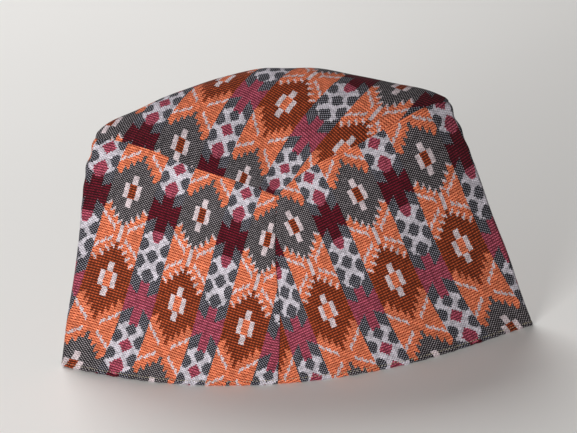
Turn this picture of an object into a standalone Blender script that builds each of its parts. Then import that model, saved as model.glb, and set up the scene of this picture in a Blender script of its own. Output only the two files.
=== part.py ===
"""Dhaka topi, the brimless cloth cap of Nepal, standing open on its rim.

Two band panels meet in a seam at the front and one at the back, and wrap round the sides,
where the cap keeps the creases that it was folded flat in. A leaf-shaped crown is sewn to
their top edges and stands up in a ridge from one side crease to the other.

Metres, +Z up. The origin is on the floor in the middle of the rim, -Y is the front and
left and right are the sides as they are seen from the front, so right is +X.
"""

from math import asin, cos, pi, sin, sqrt

import bmesh
import bpy
from mathutils import Vector

# Driving dimensions
WALL = 0.002             # cloth and its stiffening
HEM_WALL = 0.003         # turned-up edge along the rim
HEM_HEIGHT = 0.008
HEM_STEP = 0.0008        # height over which the hem's end thins out
SEAM_GAP = 0.0003        # between two pieces that are sewn together
CREASE_RADIUS = 0.004    # outer radius of the side creases
RIDGE_SOFTNESS = 0.25    # how rounded the ridge is, as a share of the crown's half depth
RIDGE_THINNING = 0.0028  # how far the inner face of the ridge lies under the outer one

# Level sections of the outer face: a lens of two arcs with its points at the side creases
SECTION_COLUMNS = ("height", "left_width", "right_width", "half_depth")
SECTIONS = (
    (0.000, 0.1278, 0.1292, 0.0518),
    (0.035, 0.1191, 0.1197, 0.0475),
    (0.070, 0.1102, 0.1099, 0.0432),
    (0.095, 0.1049, 0.1033, 0.0401),
    (0.115, 0.0996, 0.0973, 0.0377),
    (0.131, 0.0920, 0.0913, 0.0356),
)

# At the rim each crease leads a little to the front, and less so further up
LEFT_LEAD = 0.004
RIGHT_LEAD = 0.009
LEAD_HEIGHT = 0.130      # where it has come back to the middle
LEAD_POWER = 8           # keeps it to the last stretch before the crease

# Sideways place of the front seam, which leans a little as it climbs
FRONT_SEAM_COLUMNS = ("height", "x")
FRONT_SEAM = (
    (0.000, -0.0110),
    (0.035, -0.0066),
    (0.070, -0.0056),
    (0.105, -0.0018),
)

# Heights of the crown seam and of the ridge, by the share of the way from the middle of the
# cap to the line of its side crease
CROWN_COLUMNS = ("share", "left_seam", "right_seam", "left_ridge", "right_ridge")
CROWN_ROWS = (
    (0.00, 0.1013, 0.1013, 0.1570, 0.1570),
    (0.08, 0.1055, 0.1090, 0.1563, 0.1563),
    (0.20, 0.1113, 0.1156, 0.1542, 0.1545),
    (0.40, 0.1182, 0.1216, 0.1493, 0.1489),
    (0.60, 0.1253, 0.1277, 0.1434, 0.1434),
    (0.80, 0.1285, 0.1312, 0.1382, 0.1379),
    (0.90, 0.1284, 0.1312, 0.1343, 0.1343),
    (1.00, 0.1275, 0.1292, 0.1275, 0.1292),
)

ARC_SHARE = 0.95     # share of that way at which the crease begins

# Mesh density
ARC_COLUMNS = 20     # steps from a centre seam to the start of the crease
CREASE_COLUMNS = 6   # steps round a crease
BAND_ROWS = 8        # steps from the hem to the crown seam
CROWN_STEPS = 7      # steps from the crown seam up to the ridge
MERGE_DISTANCE = 1e-6
SHARP_ANGLE = pi / 4

CLOTH_COLOURS = {    # mean colour of each piece, linear
    "band_left": (0.36, 0.17, 0.12, 1.0),
    "band_right": (0.33, 0.16, 0.12, 1.0),
    "crown": (0.38, 0.18, 0.12, 1.0),
}
CLOTH_ROUGHNESS = 0.9


def read_row(table, columns, wanted, at):
    """Smooth curve through one column of a table, read at a place of its first column."""
    places = [row[0] for row in table]
    values = [row[columns.index(wanted)] for row in table]
    last = len(places) - 1
    at = min(max(at, places[0]), places[last])
    i = max(k for k in range(last) if places[k] <= at)

    def slope(k):
        low, high = max(k - 1, 0), min(k + 1, last)
        return (values[high] - values[low]) / (places[high] - places[low])

    step = places[i + 1] - places[i]
    u = (at - places[i]) / step
    return (
        values[i] * (1 + 2 * u) * (1 - u) ** 2
        + values[i + 1] * u * u * (3 - 2 * u)
        + step * (slope(i) * u * (1 - u) ** 2 - slope(i + 1) * u * u * (1 - u))
    )


class Lens:
    """Half of a level section of the cap, on one side of its middle, at one depth in the wall.

    It is a shallow arc at the front and one at the back, joined by the small arc of the side
    crease. A place on it is the length walked from the middle of the front to the crease,
    round it, and on to the middle of the back.
    """

    def __init__(self, height, side, inset):
        half_width = read_row(SECTIONS, SECTION_COLUMNS, side + "_width", height)
        half_depth = read_row(SECTIONS, SECTION_COLUMNS, "half_depth", height)
        full_lead = LEFT_LEAD if side == "left" else RIGHT_LEAD
        self.lead = full_lead * max(0.0, 1 - height / LEAD_HEIGHT)
        self.half_width = half_width
        self.inset = inset
        self.turn_x = half_width - CREASE_RADIUS
        sharp_depth = half_depth - CREASE_RADIUS
        sharp_radius = (self.turn_x ** 2 + sharp_depth ** 2) / (2 * sharp_depth)
        self.centre_y = sharp_radius - sharp_depth
        self.radius = sharp_radius + CREASE_RADIUS
        self.reach = asin(self.turn_x / sharp_radius)
        self.arc = self.radius * self.reach
        self.turn = CREASE_RADIUS * (pi - 2 * self.reach)
        self.whole = 2 * self.arc + self.turn

    def at(self, walked):
        """Distance out from the middle and distance back, at a length walked."""
        if walked > self.arc + self.turn:
            out, back = self.at_front(self.whole - walked)
            back = -back
        else:
            out, back = self.at_front(walked)
        return out, back - self.lead * abs(out / self.half_width) ** LEAD_POWER

    def at_front(self, walked):
        """The same for the front arc and the crease, before the crease leads forwards."""
        if walked <= self.arc:
            angle = walked / self.radius
            radius = self.radius - self.inset
            return radius * sin(angle), self.centre_y - radius * cos(angle)
        angle = self.reach + (walked - self.arc) / CREASE_RADIUS
        radius = CREASE_RADIUS - self.inset
        return self.turn_x + radius * sin(angle), -radius * cos(angle)


def steps(first, last, count):
    """Evenly spaced values, with the first one left out."""
    return [first + (last - first) * k / count for k in range(1, count + 1)]


def outward(side):
    """Sign of X on a side of the cap as it is seen from the front."""
    return -1 if side == "left" else 1


def stations():
    """Columns of a panel: the stretch each lies on, and the share of that stretch before it."""
    front = [("front", share) for share in [0.0] + steps(0, 1, ARC_COLUMNS)]
    crease = [("crease", share) for share in steps(0, 1, CREASE_COLUMNS)]
    back = [("back", 1 - share) for share in steps(0, 1, ARC_COLUMNS)]
    return front + crease + back


def way_to_crease(stretch, share):
    """Share of the way from the middle seams to the crease line, for the crown's table."""
    if stretch == "crease":
        return ARC_SHARE + (1 - ARC_SHARE) * (1 - abs(2 * share - 1))
    return ARC_SHARE * share


def panel_point(stretch, share, side, height, inset):
    """A point of a band panel in a column, at a height and at a depth in the wall."""
    lens = Lens(height, side, inset)
    seam_out = outward(side) * read_row(FRONT_SEAM, FRONT_SEAM_COLUMNS, "x", height)
    if stretch == "front":
        start = lens.radius * asin(seam_out / lens.radius) + SEAM_GAP / 2
        walked = start + (lens.arc - start) * share
    elif stretch == "crease":
        walked = lens.arc + lens.turn * share
    else:
        walked = lens.whole - SEAM_GAP / 2 - (lens.arc - SEAM_GAP / 2) * share
    out, back = lens.at(walked)
    return Vector((outward(side) * out, back, height))


def cut_edge(skin):
    """The corners along the four sides of a grid, in order."""
    first_side = skin[0]
    second_side = [row[-1] for row in skin[1:]]
    third_side = skin[-1][-2::-1]
    fourth_side = [row[0] for row in skin[-2:0:-1]]
    return first_side + second_side + third_side + fourth_side


def closed_wall(outer, inner, name):
    """A closed wall between two grids of points of the same size."""
    mesh = bmesh.new()
    skins = []
    for grid in (outer, inner):
        skin = [[mesh.verts.new(point) for point in row] for row in grid]
        for row, next_row in zip(skin, skin[1:]):
            for j in range(len(row) - 1):
                mesh.faces.new((row[j], row[j + 1], next_row[j + 1], next_row[j]))
        skins.append(skin)
    outer_edge, inner_edge = [cut_edge(skin) for skin in skins]
    for k in range(len(outer_edge)):
        mesh.faces.new((outer_edge[k - 1], outer_edge[k], inner_edge[k], inner_edge[k - 1]))
    bmesh.ops.remove_doubles(mesh, verts=mesh.verts, dist=MERGE_DISTANCE)
    bmesh.ops.recalc_face_normals(mesh, faces=mesh.faces)
    data = bpy.data.meshes.new(name)
    mesh.to_mesh(data)
    mesh.free()
    piece = bpy.data.objects.new(name, data)
    bpy.context.scene.collection.objects.link(piece)
    return piece


def finish_piece(piece):
    """Give a piece its cloth and soft shading that stays crisp at the cut edges."""
    cloth = bpy.data.materials.new(piece.name + "_cloth")
    cloth.use_nodes = True
    shader = cloth.node_tree.nodes["Principled BSDF"]
    shader.inputs["Base Color"].default_value = CLOTH_COLOURS[piece.name]
    shader.inputs["Roughness"].default_value = CLOTH_ROUGHNESS
    shader.inputs["Metallic"].default_value = 0.0
    cloth.diffuse_color = CLOTH_COLOURS[piece.name]
    piece.data.materials.append(cloth)
    piece.data.shade_smooth()
    piece.data.set_sharp_from_angle(angle=SHARP_ANGLE)


def make_band(side):
    """A band panel, from the front seam round a side crease to the back seam."""
    outer, inner = [], []
    hem_end = HEM_HEIGHT + HEM_STEP
    insets = [HEM_WALL, HEM_WALL] + [WALL] * (1 + BAND_ROWS)
    for stretch, share in stations():
        way = way_to_crease(stretch, share)
        top = read_row(CROWN_ROWS, CROWN_COLUMNS, side + "_seam", way)
        heights = [0.0, HEM_HEIGHT, hem_end] + steps(hem_end, top, BAND_ROWS)
        outer.append([panel_point(stretch, share, side, height, 0.0) for height in heights])
        inner.append([
            panel_point(stretch, share, side, height, inset)
            for height, inset in zip(heights, insets)
        ])
    finish_piece(closed_wall(outer, inner, "band_" + side))


def crown_section(stretch, share, side, inset):
    """Points of the crown from its front seam over the ridge to its back seam."""
    way = way_to_crease(stretch, share)
    edge_height = read_row(CROWN_ROWS, CROWN_COLUMNS, side + "_seam", way)
    rise = read_row(CROWN_ROWS, CROWN_COLUMNS, side + "_ridge", way) - edge_height
    if inset:
        rise = rise * rise / (rise + RIDGE_THINNING)
    front = panel_point(stretch, share, side, edge_height, inset)
    if stretch == "front":
        back = panel_point("back", share, side, edge_height, inset)
    else:
        back = panel_point("crease", 1 - share, side, edge_height, inset)
    full_fall = sqrt(1 + RIDGE_SOFTNESS ** 2) - RIDGE_SOFTNESS
    points = []
    for step in range(-CROWN_STEPS, CROWN_STEPS + 1):
        off_ridge = step / CROWN_STEPS
        fall = (sqrt(off_ridge ** 2 + RIDGE_SOFTNESS ** 2) - RIDGE_SOFTNESS) / full_fall
        point = front.lerp(back, (off_ridge + 1) / 2)
        point.z = edge_height + SEAM_GAP + rise * (1 - fall)
        points.append(point)
    return points


def make_crown():
    """The crown, from one side crease along the ridge to the other."""
    half = [("front", share) for share in steps(0, 1, ARC_COLUMNS)]
    half += [("crease", share) for share in steps(0, 0.5, CREASE_COLUMNS // 2)]
    columns = [(stretch, share, "left") for stretch, share in reversed(half)]
    columns += [("front", 0.0, "right")]
    columns += [(stretch, share, "right") for stretch, share in half]
    outer = [crown_section(stretch, share, side, 0.0) for stretch, share, side in columns]
    inner = [crown_section(stretch, share, side, WALL) for stretch, share, side in columns]
    finish_piece(closed_wall(outer, inner, "crown"))


def clear_scene():
    """Start from an empty scene."""
    for thing in list(bpy.data.objects):
        bpy.data.objects.remove(thing, do_unlink=True)


clear_scene()
make_band("left")
make_band("right")
make_crown()
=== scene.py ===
# %% [markdown]
# # A dhaka topi, the cloth cap of Nepal
#
# The cap is sewn from three pieces of one handloom brocade: two band panels, which meet in a
# seam at the front and one at the back, and a leaf-shaped crown. This lesson puts the real
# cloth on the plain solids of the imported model. It shapes each piece as a thin wall with
# rounded edges, flattens it again on paper to find where the weave lies, and draws the
# brocade thread by thread with shader nodes.

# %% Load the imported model
from math import asin, cos, pi, radians, sin, sqrt

import bpy
import numpy as np
from mathutils import Matrix, Vector


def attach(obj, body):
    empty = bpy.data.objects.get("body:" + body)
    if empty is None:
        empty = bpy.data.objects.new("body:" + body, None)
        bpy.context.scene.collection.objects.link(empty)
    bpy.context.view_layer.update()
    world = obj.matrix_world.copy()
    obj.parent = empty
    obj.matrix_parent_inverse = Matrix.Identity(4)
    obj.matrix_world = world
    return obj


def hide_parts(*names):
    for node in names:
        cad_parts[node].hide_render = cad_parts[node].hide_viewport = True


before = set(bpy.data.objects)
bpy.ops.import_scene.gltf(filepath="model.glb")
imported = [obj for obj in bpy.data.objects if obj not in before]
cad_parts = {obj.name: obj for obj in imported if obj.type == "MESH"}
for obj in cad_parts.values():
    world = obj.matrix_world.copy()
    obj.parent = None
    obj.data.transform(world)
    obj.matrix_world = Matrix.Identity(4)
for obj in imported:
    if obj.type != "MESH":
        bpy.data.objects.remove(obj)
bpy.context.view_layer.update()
bpy.ops.object.select_all(action="DESELECT")

# %% [markdown]
# ## The form of the cap
#
# The real cap is folded flat when it isn't worn, so its plan is a lens: two shallow arcs that
# meet in a crease at each side. The tables give that lens at a few heights, the front seam,
# and the heights of the crown seam and of the ridge. They are the driving sizes of the solids
# too, so the cloth lands where the solids are.

# %% Tables of the cap's form, in metres
SECTION_COLUMNS = ("height", "left_width", "right_width", "half_depth")
SECTIONS = (
    (0.000, 0.1278, 0.1292, 0.0518),
    (0.035, 0.1191, 0.1197, 0.0475),
    (0.070, 0.1102, 0.1099, 0.0432),
    (0.095, 0.1049, 0.1033, 0.0401),
    (0.115, 0.0996, 0.0973, 0.0377),
    (0.131, 0.0920, 0.0913, 0.0356),
)
FRONT_SEAM_COLUMNS = ("height", "x")
FRONT_SEAM = (
    (0.000, -0.0110),
    (0.035, -0.0066),
    (0.070, -0.0056),
    (0.105, -0.0018),
)

CROWN_COLUMNS = ("share", "left_seam", "right_seam", "left_ridge", "right_ridge")
CROWN_ROWS = (
    (0.00, 0.1013, 0.1013, 0.1570, 0.1570),
    (0.08, 0.1055, 0.1090, 0.1563, 0.1563),
    (0.20, 0.1113, 0.1156, 0.1542, 0.1545),
    (0.40, 0.1182, 0.1216, 0.1493, 0.1489),
    (0.60, 0.1253, 0.1277, 0.1434, 0.1434),
    (0.80, 0.1285, 0.1312, 0.1382, 0.1379),
    (0.90, 0.1284, 0.1312, 0.1343, 0.1343),
    (1.00, 0.1275, 0.1292, 0.1275, 0.1292),
)
print("rim from side to side", round(sum(SECTIONS[0][1:3]), 4), "m")

# %% [markdown]
# ## Reading a table
#
# Straight lines between the rows would leave facets in the cloth, and a long table would be
# hard to change. So the rows stay few, and a cubic is read between two of them, whose slopes
# come from the rows on either side.


# %% A smooth curve through a column
def read_row(table, columns, wanted, at):
    """Smooth curve through one column of a table, read at a place of its first column."""
    places = [row[0] for row in table]
    values = [row[columns.index(wanted)] for row in table]
    last = len(places) - 1
    at = min(max(at, places[0]), places[last])
    i = max(k for k in range(last) if places[k] <= at)

    def slope(k):
        low, high = max(k - 1, 0), min(k + 1, last)
        return (values[high] - values[low]) / (places[high] - places[low])

    step = places[i + 1] - places[i]
    u = (at - places[i]) / step
    return (
        values[i] * (1 + 2 * u) * (1 - u) ** 2
        + values[i + 1] * u * u * (3 - 2 * u)
        + step * (slope(i) * u * (1 - u) ** 2 - slope(i + 1) * u * u * (1 - u))
    )


print("crown seam at the front seam", read_row(CROWN_ROWS, CROWN_COLUMNS, "left_seam", 0.0))

# %% [markdown]
# ## A level section of the cap
#
# Half of each section is an arc, a small turn round the side crease and a second arc. A point
# on it is found by the length of cloth walked from the middle of the front, which is how a
# tape measure would find it, so that stitches and seams can be set out along it.

# %% The lens of one height
CREASE_RADIUS = 0.004    # outer radius of the side creases
LEADS = {"left": 0.004, "right": 0.009}      # how far a crease leads to the front at the rim
LEAD_HEIGHT = 0.130      # where it has come back to the middle
LEAD_POWER = 8           # keeps it to the last stretch before the crease


class Lens:
    """Half of a level section of the cap, on one side of its middle."""

    def __init__(self, height, side):
        half_width = read_row(SECTIONS, SECTION_COLUMNS, side + "_width", height)
        half_depth = read_row(SECTIONS, SECTION_COLUMNS, "half_depth", height)
        self.lead = LEADS[side] * max(0.0, 1 - height / LEAD_HEIGHT)
        self.half_width = half_width
        self.turn_x = half_width - CREASE_RADIUS
        sharp_depth = half_depth - CREASE_RADIUS
        sharp_radius = (self.turn_x ** 2 + sharp_depth ** 2) / (2 * sharp_depth)
        self.centre_y = sharp_radius - sharp_depth
        self.radius = sharp_radius + CREASE_RADIUS
        self.reach = asin(self.turn_x / sharp_radius)
        self.arc = self.radius * self.reach
        self.turn = CREASE_RADIUS * (pi - 2 * self.reach)
        self.whole = 2 * self.arc + self.turn

    def at(self, walked, inset):
        """Distance out from the middle and distance back, at a length walked."""
        if walked > self.arc + self.turn:
            out, back = self.at_front(self.whole - walked, inset)
            back = -back
        else:
            out, back = self.at_front(walked, inset)
        return out, back - self.lead * abs(out / self.half_width) ** LEAD_POWER

    def at_front(self, walked, inset):
        """The same for the front arc and the crease, before the crease leads forwards."""
        if walked <= self.arc:
            angle = walked / self.radius
            radius = self.radius - inset
            return radius * sin(angle), self.centre_y - radius * cos(angle)
        angle = self.reach + (walked - self.arc) / CREASE_RADIUS
        radius = CREASE_RADIUS - inset
        return self.turn_x + radius * sin(angle), -radius * cos(angle)


print("half round the rim, from front to back", round(Lens(0.0, "right").whole, 4), "m")

# %% [markdown]
# ## Columns of the cloth
#
# A column of cloth lies on the front arc, on the crease or on the back arc, at a share of that
# stretch. The front seam leans, so a column of a panel starts at another length at each height.

# %% Places along a section
SEAM_GAP = 0.0001        # between two pieces that are sewn together; the solids keep 0.3 mm
ARC_SHARE = 0.95         # share of the way to the crease line at which the crease begins


def outward(side):
    """Sign of X on a side of the cap as it is seen from the front."""
    return -1 if side == "left" else 1


def way_to_crease(stretch, share):
    """Share of the way from the middle seams to the crease line, for the crown's table."""
    if stretch == "crease":
        return ARC_SHARE + (1 - ARC_SHARE) * (1 - abs(2 * share - 1))
    return ARC_SHARE * share


def back_walk(lens, share):
    """Length walked to a column of the back arc, whose share is counted from the back seam."""
    return lens.whole - SEAM_GAP / 2 - (lens.arc - SEAM_GAP / 2) * share


def panel_walk(stretch, share, side, height):
    """The section at a height, and the length walked to a column of the panel."""
    lens = Lens(height, side)
    seam_out = outward(side) * read_row(FRONT_SEAM, FRONT_SEAM_COLUMNS, "x", height)
    start = lens.radius * asin(seam_out / lens.radius) + SEAM_GAP / 2
    if stretch == "front":
        return lens, start, start + (lens.arc - start) * share
    if stretch == "crease":
        return lens, start, lens.arc + lens.turn * share
    return lens, start, back_walk(lens, share)


print("left panel starts at", round(panel_walk("front", 0.0, "left", 0.0)[1], 4), "m at the rim")

# %% [markdown]
# ## Cloth as a wall with rounded edges
#
# A cut edge that is turned in and sewn is round, not square. So the two faces of the wall
# come towards each other just before each edge, over 0.3 mm at a seam and 1.4 mm at the
# folded rim. The columns and rows of the grid lie closer together there, so that the round
# edge has enough faces.

# %% Where the grid has its columns and rows
EDGE_ROLL = 0.0003       # radius of a sewn edge
RIM_ROLL = 0.0014        # radius of the folded rim
EDGE_STEPS = (0.0, 0.00004, 0.00012, 0.00022, 0.0003, 0.0009, 0.0018, 0.0028)
RIM_STEPS = (0.0, 0.0001, 0.0004, 0.0009, 0.0014, 0.0019, 0.0023, 0.0027, 0.0031, 0.0036, 0.0044)
ARC_COLUMNS = 116
CREASE_COLUMNS = 14
BAND_ROWS = 92
NOMINAL_ARC = 0.125      # roughly the length of one arc, for the shares of the first columns


def edge_roll(distance, radius):
    """How far a face turns in, at a distance from a rounded edge of that radius."""
    if distance >= radius:
        return 0.0
    return radius - sqrt(radius ** 2 - (radius - distance) ** 2)


def band_stations():
    """Columns of a panel: the stretch each lies on, and the share of that stretch before it."""
    near = [step / NOMINAL_ARC for step in EDGE_STEPS]
    rest = list(np.linspace(near[-1], 1.0, ARC_COLUMNS)[1:])
    front = [("front", share) for share in near + rest]
    crease = [("crease", (k + 1) / CREASE_COLUMNS) for k in range(CREASE_COLUMNS - 1)]
    back = [("back", share) for share in reversed(near + rest)]
    return front + crease + back


STATIONS = band_stations()
print(len(STATIONS), "columns in a band panel")

# %% [markdown]
# ## Relief: what sewing and wearing do to the cloth
#
# A seam pulls the cloth in on both sides, the topstitching presses a shallow groove into the
# hem and puckers it, the end of the crown is gathered in at each side crease, and stiffened
# cotton that has been folded away keeps soft, broad waves. Cloth simulation could give such
# folds on a limp cloth, but this one is stiff and cut to shape, so each of them is a small
# height in metres, added along the normal of the cloth to both faces of the wall.

# %% Heights of the relief
SEAM_PULL = 0.0004
SEAM_PULL_WIDTH = 0.0022
STITCH_LINE = 0.0027     # height of the topstitching above the rim
STITCH_GROOVE = 0.00035
STITCH_GROOVE_WIDTH = 0.0007
HEM_PUCKERS = ((0.0093, 0.00022), (0.0057, 0.00014))     # wave length and height
HEM_PUCKER_REACH = 0.010
CREASE_PUCKER = 0.0007   # where the crown's end is gathered in, at the top of each side crease
CREASE_PUCKER_LENGTH = 0.012
CREASE_PUCKER_REACH = 0.022
CREASE_PUCKER_SHARE = 0.12           # how far it reaches, as a share of the way to the crease
WAVES = (                # wave lengths along and up the cloth, phase, and height
    (0.083, 0.171, 0.4, 0.00045),
    (0.046, 0.094, 2.1, 0.00030),
    (0.029, 0.058, 4.0, 0.00014),
)


def dip(distance, width):
    """A smooth dip, 1 at its middle."""
    return np.exp(-(distance / width) ** 2)


def soft_waves(along, up, shift):
    """Broad waves left by folding and wearing, over places in metres."""
    total = np.zeros_like(along)
    for wave_along, wave_up, turn, height in WAVES:
        total += height * np.sin(2 * pi * along / wave_along + turn + shift) * np.cos(
            2 * pi * up / wave_up + 2 * turn + shift
        )
    return total


def puckers(along, up, below_top, way):
    """Small puckers over the stitched hem and at the top of the side crease."""
    hem = sum(height * sin(2 * pi * along / length) for length, height in HEM_PUCKERS)
    reach = dip(below_top, CREASE_PUCKER_REACH) * dip(1 - way, CREASE_PUCKER_SHARE)
    gathered = CREASE_PUCKER * reach * sin(2 * pi * below_top / CREASE_PUCKER_LENGTH)
    return hem * dip(up, HEM_PUCKER_REACH) + gathered


print("the broad waves reach", sum(wave[3] for wave in WAVES), "m")

# %% [markdown]
# ## Grid helpers
#
# A cloth is first an array of points, one row of the array for each column of the cloth. Its
# normals come from the differences between neighbours. The wall is the outer grid, the inner
# grid and a strip of faces round the edge, and every corner carries two UV places: one on
# the weave, and one in millimetres along and up from the front of the rim, which tells where
# the hem ends.

# %% Normals and the closed wall
NO_LENGTH = 1e-12        # stands for a length of nothing, which can't be divided by


def grid_normals(points):
    """Unit normals of a grid of points, up to their sign."""
    along = np.gradient(points, axis=0)
    across = np.gradient(points, axis=1)
    normals = np.cross(along, across)
    lengths = np.linalg.norm(normals, axis=2, keepdims=True)
    return normals / np.maximum(lengths, NO_LENGTH)


def edge_order(rows, columns):
    """Places along the four sides of a grid, in order."""
    first = [(0, j) for j in range(columns)]
    second = [(i, columns - 1) for i in range(1, rows)]
    third = [(rows - 1, j) for j in range(columns - 2, -1, -1)]
    fourth = [(i, 0) for i in range(rows - 2, 0, -1)]
    return first + second + third + fourth


def turned_to(normals, place, direction):
    """The same normals, all turned over if the one at a place points against a direction."""
    return -normals if normals[place] @ direction < 0 else normals


def cloth_wall(name, outer, inner, weave, edges):
    """A closed wall between two grids, with UV maps of the weave and of the edges."""
    rows, columns = outer.shape[:2]
    count = rows * columns
    number = np.arange(count).reshape(rows, columns)
    quads = np.stack(
        [number[:-1, :-1], number[:-1, 1:], number[1:, 1:], number[1:, :-1]], axis=-1
    ).reshape(-1, 4)
    rim = np.array([number[place] for place in edge_order(rows, columns)])
    before = np.roll(rim, 1)
    strip = np.stack([before, rim, rim + count, before + count], axis=-1)
    faces = np.concatenate([quads, quads[:, ::-1] + count, strip[:, ::-1]])
    mesh = bpy.data.meshes.new(name)
    points = np.concatenate([outer.reshape(-1, 3), inner.reshape(-1, 3)])
    mesh.from_pydata(points.tolist(), [], faces.tolist())
    corners = np.zeros(len(mesh.loops), np.int32)
    mesh.loops.foreach_get("vertex_index", corners)
    for map_name, grid in (("weave", weave), ("edges", edges)):
        layer = mesh.uv_layers.new(name=map_name)
        flat = np.concatenate([grid.reshape(-1, 2), grid.reshape(-1, 2)])[corners]
        layer.uv.foreach_set("vector", flat.astype(np.float32).ravel())
    inside = mesh.attributes.new("wrong_side", "FLOAT", "POINT")
    inside.data.foreach_set("value", np.repeat([0.0, 1.0], count).astype(np.float32))
    piece = bpy.data.objects.new(name, mesh)
    bpy.context.scene.collection.objects.link(piece)
    return piece


print("places round a grid of 4 by 3:", len(edge_order(4, 3)))

# %% [markdown]
# ## Closing and smoothing a piece
#
# Where the crown runs out to a point, several corners share one place. Merging them closes
# the mesh, and the normals are then turned outwards, which is safe here because the wall
# already has its thickness and is one closed body. A count of the faces at each edge shows
# whether a piece is closed: it has two at every edge.

# %% Merge, turn outwards, smooth
MERGE_DISTANCE = 2e-6


def finish_piece(piece):
    """Merge the doubles of a piece, turn its faces outwards and shade it smooth."""
    bpy.ops.object.select_all(action="DESELECT")
    bpy.context.view_layer.objects.active = piece
    piece.select_set(True)
    bpy.ops.object.mode_set(mode="EDIT")
    bpy.ops.mesh.select_all(action="SELECT")
    bpy.ops.mesh.remove_doubles(threshold=MERGE_DISTANCE)
    bpy.ops.mesh.normals_make_consistent(inside=False)
    bpy.ops.object.mode_set(mode="OBJECT")
    bpy.ops.object.shade_smooth()
    piece.select_set(False)
    open_edges = sum(1 for k in edge_uses(piece) if k != 2)
    print(piece.name, len(piece.data.polygons), "faces,", open_edges, "open edges")
    return piece


def edge_uses(piece):
    """How many faces use each edge of a mesh."""
    uses = np.zeros(len(piece.data.loops), np.int32)
    piece.data.loops.foreach_get("edge_index", uses)
    return np.bincount(uses, minlength=len(piece.data.edges))


print("corners closer than", MERGE_DISTANCE, "m are merged")

# %% [markdown]
# ## Flattening a panel
#
# The weave was straight before the panel was cut and bent, so the pattern is laid out on the
# flat cloth. The panel is nearly a cone, which unrolls without stretching: each column is
# laid beside the one before it, at the distances that it has on the cap. A quarter of a tube
# shows that no length is lost.

# %% Unroll a grid column by column
UNROLL_REACH = 0.008     # how far up and down the last column a new point is measured from


def unroll(points, sign):
    """Flat places of a grid of points, laid out from its first column towards one side."""
    flat = np.zeros(points.shape[:2] + (2,))
    steps = np.linalg.norm(np.diff(points[0], axis=0), axis=1)
    flat[0, 1:, 1] = np.cumsum(steps)
    level = flat[0, :, 1]
    low = np.array([np.abs(level - (y - UNROLL_REACH)).argmin() for y in level])
    high = np.array([np.abs(level - (y + UNROLL_REACH)).argmin() for y in level])
    for i in range(1, len(points)):
        foot, head = points[i - 1, low], points[i - 1, high]
        flat_foot, flat_head = flat[i - 1, low], flat[i - 1, high]
        up = head - foot
        length = np.linalg.norm(up, axis=1)
        reach = points[i] - foot
        climbed = (reach * up).sum(axis=1) / length
        aside = np.sqrt(np.maximum((reach ** 2).sum(axis=1) - climbed ** 2, 0))
        ahead = (flat_head - flat_foot) / np.linalg.norm(flat_head - flat_foot, axis=1)[:, None]
        square = np.stack([ahead[:, 1], -ahead[:, 0]], axis=1)
        flat[i] = flat_foot + climbed[:, None] * ahead + aside[:, None] * square
    flat[..., 0] *= sign
    return flat


TUBE_RADIUS = 0.05
tube = np.array([
    [(TUBE_RADIUS * cos(turn), TUBE_RADIUS * sin(turn), height) for height in np.linspace(0, 0.05, 21)]
    for turn in np.linspace(0, pi / 2, 61)
])
tube_width = float(np.ptp(unroll(tube, 1)[..., 0]))
print("a tube's arc of", round(TUBE_RADIUS * pi / 2, 4), "m unrolls to", round(tube_width, 4), "m")

# %% [markdown]
# ## Where the weave lies
#
# The brocade repeats every 40 mm across, from one column of diamonds to the next, and every
# 105 mm along the warp. Each table below says where some woven motifs lie on the flat piece,
# in millimetres: whole columns are diamonds, half columns are the stars between them, and a
# row of 0 is a charcoal diamond. Sewing has eased the cloth a little, so a cubic curve is
# fitted through the motifs instead of a straight grid.

# %% Places of the motifs on the flat pieces
COLUMN_PITCH = 40.0      # millimetres between two columns of diamonds
REPEAT = 105.0           # millimetres from one charcoal diamond to the next
LEFT_MOTIFS = (          # column and row on the weave, then millimetres along and up the cloth
    (-0.5, -0.06, -102.5, 96.0), (0.0, 0.00, -76.5, 100.0), (0.5, -0.06, -59.5, 89.5),
    (1.0, 0.00, -38.5, 90.5), (1.5, -0.06, -23.5, 78.5), (2.0, 0.00, -4.5, 79.5),
    (0.0, -0.50, -95.0, 48.0), (0.5, -0.56, -75.0, 38.0), (1.0, -0.50, -53.5, 39.5),
    (1.5, -0.56, -36.5, 29.0), (2.0, -0.50, -17.0, 30.0), (0.0, -0.75, -105.0, 22.5),
    (1.0, -0.75, -61.5, 14.5), (2.0, -0.75, -24.5, 4.0), (0.0, -1.00, -120.5, -4.0),
    (-0.5, 0.20, -92.0, 120.5),
)
RIGHT_MOTIFS = (
    (0.0, 0.00, 9.0, 86.5), (0.5, -0.06, 27.5, 89.0), (1.0, 0.00, 42.0, 102.0),
    (1.5, -0.06, 63.5, 104.0), (2.0, 0.00, 80.5, 117.5), (2.5, -0.06, 104.5, 119.5),
    (-0.5, -0.56, 12.0, 26.0), (0.0, -0.50, 26.5, 39.5), (0.5, -0.56, 47.0, 41.0),
    (1.0, -0.50, 63.0, 54.0), (1.5, -0.56, 86.0, 54.5), (2.0, -0.50, 103.5, 67.0),
    (2.5, -0.56, 127.0, 69.0), (0.0, -0.75, 36.5, 15.5), (1.0, -0.75, 75.0, 29.0),
    (2.0, -0.75, 117.0, 42.5), (2.0, -1.00, 134.5, 19.0), (2.5, 0.09, 98.5, 135.5),
    (2.5, 0.20, 93.0, 144.5),
)
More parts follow.
